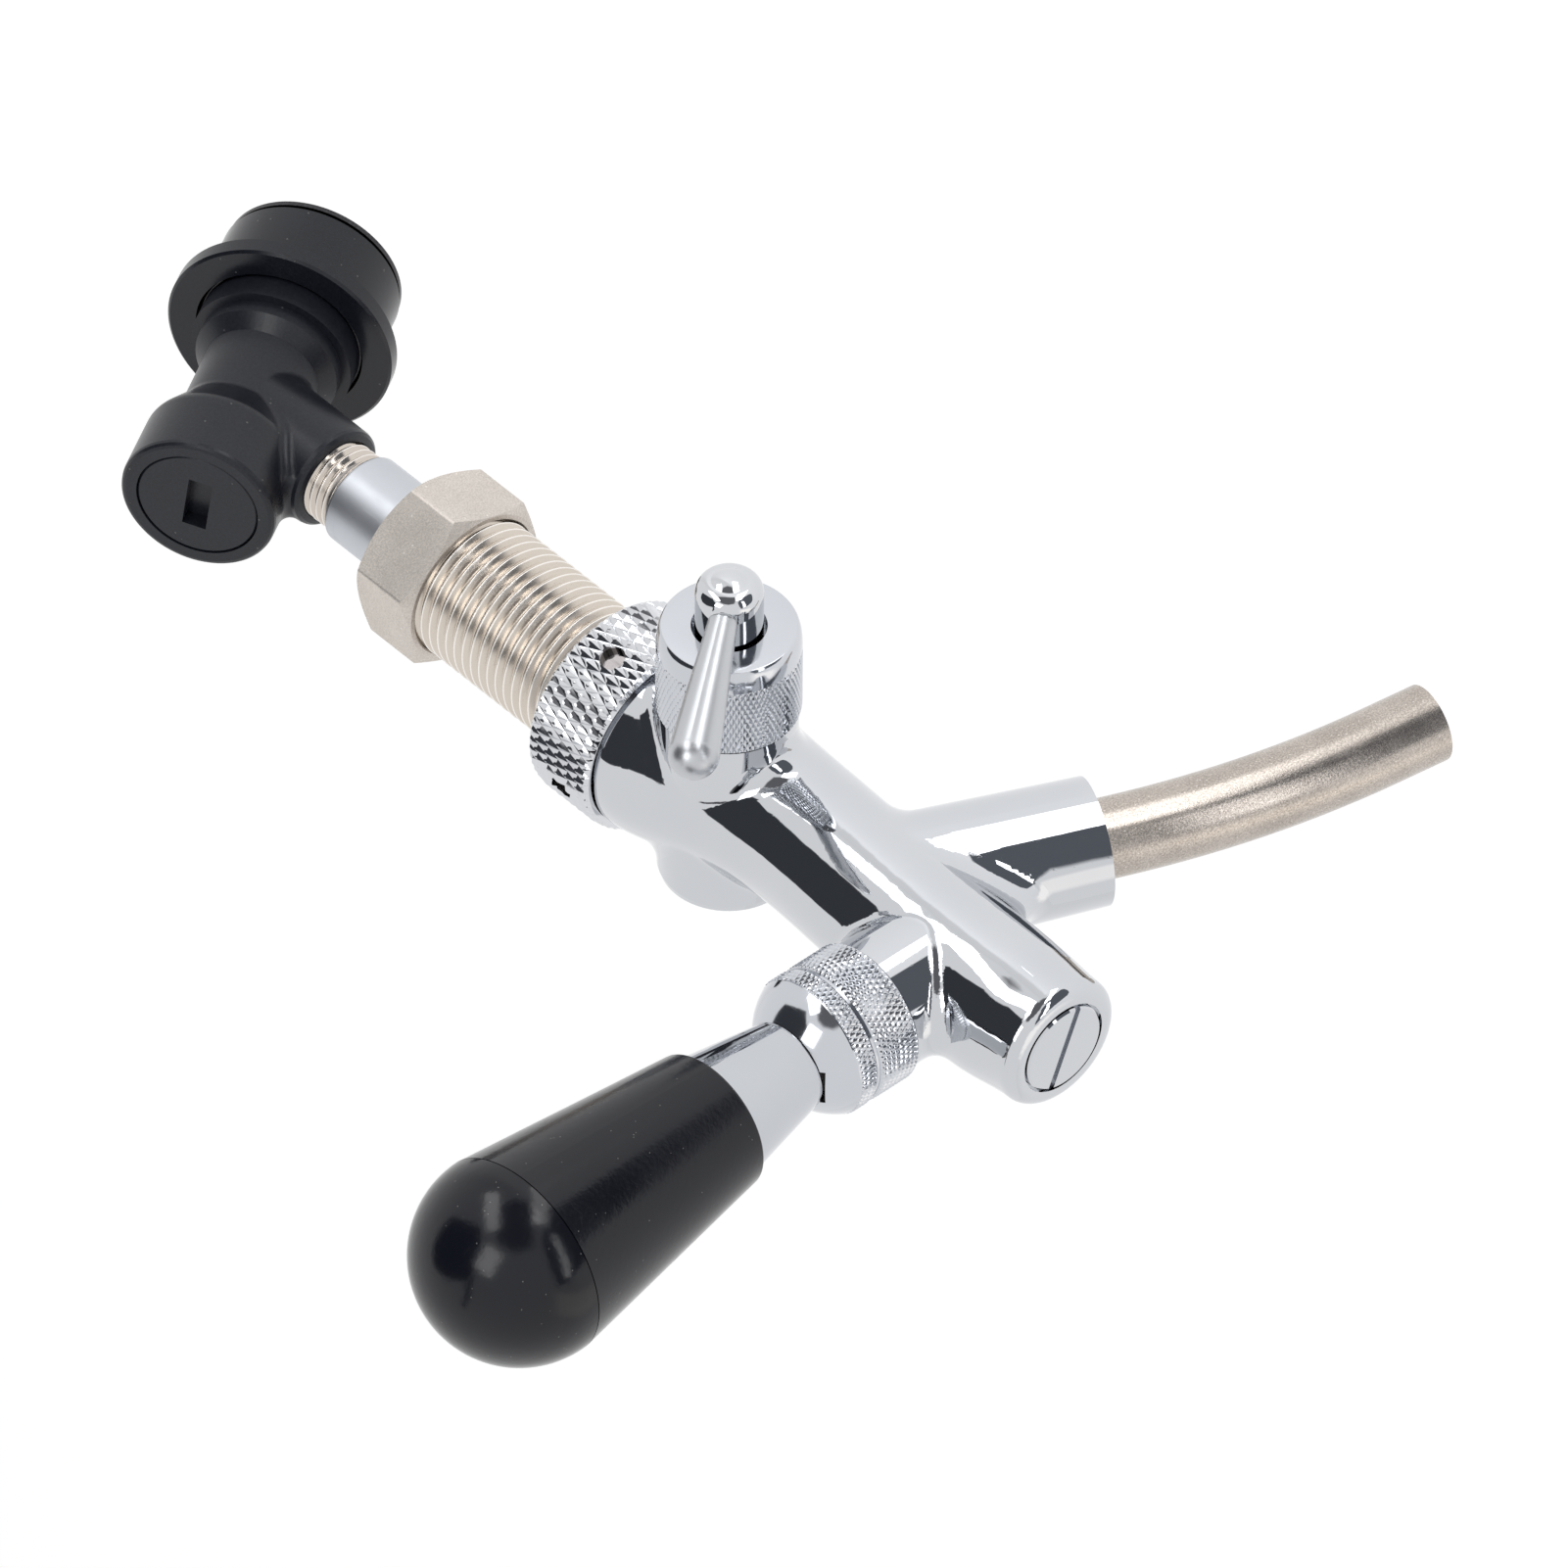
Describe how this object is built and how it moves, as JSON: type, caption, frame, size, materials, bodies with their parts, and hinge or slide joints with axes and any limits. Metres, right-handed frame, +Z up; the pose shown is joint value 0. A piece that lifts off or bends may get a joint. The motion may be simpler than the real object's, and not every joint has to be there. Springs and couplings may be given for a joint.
{
  "type": "beer faucet",
  "caption": "chrome beer tap with black tapered handle, side flow control lever, bent steel spout, threaded wall shank with nut, and a ball-lock keg coupler behind it",
  "frame": {"origin": "on the shank's axis, in the plane of the coupling collar's rear face, which is drawn against the wall or keg adapter", "axes": "+Y runs back along the shank towards the keg, +Z up to the handle, +X towards the side that the flow control lever is on"},
  "size_m": [0.0608, 0.2073, 0.191],
  "materials": {
    "faucet_chrome": "mirror-bright chrome plate",
    "collar_chrome": "chrome plate over coarse diamond knurling",
    "knurled_chrome": "chrome plate over fine diamond knurling",
    "handle_chrome": "mirror-bright chrome plate",
    "control_chrome": "polished chrome plate",
    "sleeve_chrome": "bright plate with faint handling marks",
    "shank_nickel": "bright warm nickel plate on a cut thread",
    "nut_nickel": "satin nickel plate on a forged nut",
    "stem_nickel": "bright nickel plate",
    "spout_steel": "satin blasted stainless steel",
    "grip_black": "polished black moulding",
    "disconnect_black": "satin black moulding",
    "locking_black": "satin black moulding, smoother than the body",
    "seal_rubber": "smooth black food-grade rubber",
    "bearing_white": "smooth off-white bearing plastic",
    "stainless": "turned stainless steel",
    "black_oxide": "oiled black oxide on spring steel",
    "spring_steel": "drawn stainless wire",
    "insert_brass": "turned brass"
  },
  "bodies": {
    "tap": {"faucet_body": "faucet_chrome", "front_plug": "faucet_chrome", "plug_o_ring": "seal_rubber", "coupling_collar": "collar_chrome", "shank": "shank_nickel", "shank_washer": "seal_rubber", "adapter_sleeve": "sleeve_chrome", "adapter_stem": "stem_nickel", "stem_seal": "seal_rubber", "shaft_guide": "bearing_white", "guide_o_ring": "seal_rubber", "lock_ring": "knurled_chrome", "handle_bonnet": "knurled_chrome", "ball_washer": "bearing_white", "ball_seat": "bearing_white", "spout_tube": "spout_steel", "spout_o_rings": "seal_rubber", "control_cap": "knurled_chrome", "disconnect_body": "disconnect_black", "disconnect_cap": "disconnect_black", "cap_o_ring": "seal_rubber", "collar_spring": "spring_steel", "snap_ring": "black_oxide", "poppet_spring": "spring_steel"},
    "handle": {"lever": "stainless", "handle_ferrule": "handle_chrome", "handle_grip": "grip_black", "grip_cap": "grip_black", "grip_insert": "insert_brass"},
    "valve": {"valve_shaft": "stainless", "valve_seal": "seal_rubber", "shaft_nut": "stainless"},
    "control": {"control_stem": "control_chrome", "control_o_rings": "seal_rubber", "control_lever": "control_chrome"},
    "compensator": {"compensator_cone": "bearing_white"},
    "nut": {"shank_nut": "nut_nickel"},
    "locking_sleeve": {"locking_collar": "locking_black"},
    "ball_a": {"locking_ball_a": "stainless"},
    "ball_b": {"locking_ball_b": "stainless"},
    "ball_c": {"locking_ball_c": "stainless"},
    "poppet_pin": {"poppet": "stainless", "poppet_seal": "seal_rubber"}
  },
  "joints": [
    {"name": "handle_tilt", "type": "hinge", "parent": "tap", "child": "handle", "pos_m": [0, -0.0747, 0.0226], "axis": [1, 0, 0], "range_deg": [0, 20]},
    {"name": "valve_slide", "type": "slide", "parent": "tap", "child": "valve", "axis": [0, 1, 0], "range_m": [0, 0.006]},
    {"name": "control_turn", "type": "hinge", "parent": "tap", "child": "control", "pos_m": [0, -0.02643, 0], "axis": [-1, 0, 0], "range_deg": [-54, 36]},
    {"name": "compensator_slide", "type": "slide", "parent": "tap", "child": "compensator", "axis": [0, 1, 0], "range_m": [-0.0018, 0.0012]},
    {"name": "nut_travel", "type": "slide", "parent": "tap", "child": "nut", "axis": [0, -1, 0], "range_m": [0, 0.0265]},
    {"name": "collar_pull", "type": "slide", "parent": "tap", "child": "locking_sleeve", "axis": [0, -0.4848, 0.8746], "range_m": [0, 0.0035], "stiffness_N_per_m": 900, "springref_m": -0.005, "deforming": ["collar_spring"]},
    {"name": "ball_a_lift", "type": "slide", "parent": "tap", "child": "ball_a", "axis": [0, -0.8746, -0.4848], "range_m": [0, 0.0008]},
    {"name": "ball_b_lift", "type": "slide", "parent": "tap", "child": "ball_b", "axis": [-0.866, 0.4373, 0.2424], "range_m": [0, 0.0008]},
    {"name": "ball_c_lift", "type": "slide", "parent": "tap", "child": "ball_c", "axis": [0.866, 0.4373, 0.2424], "range_m": [0, 0.0008]},
    {"name": "poppet_push", "type": "slide", "parent": "tap", "child": "poppet_pin", "axis": [0, -0.4848, 0.8746], "range_m": [0, 0.0035], "stiffness_N_per_m": 600, "springref_m": -0.006, "deforming": ["poppet_spring"]}
  ],
  "couplings": [
    {"joint": "valve_slide", "follows": "handle_tilt", "m_per_rad": 0.01708},
    {"joint": "compensator_slide", "follows": "control_turn", "m_per_rad": 0.0018},
    {"joint": "ball_a_lift", "follows": "collar_pull", "ratio": 0.22},
    {"joint": "ball_b_lift", "follows": "collar_pull", "ratio": 0.22},
    {"joint": "ball_c_lift", "follows": "collar_pull", "ratio": 0.22}
  ]
}
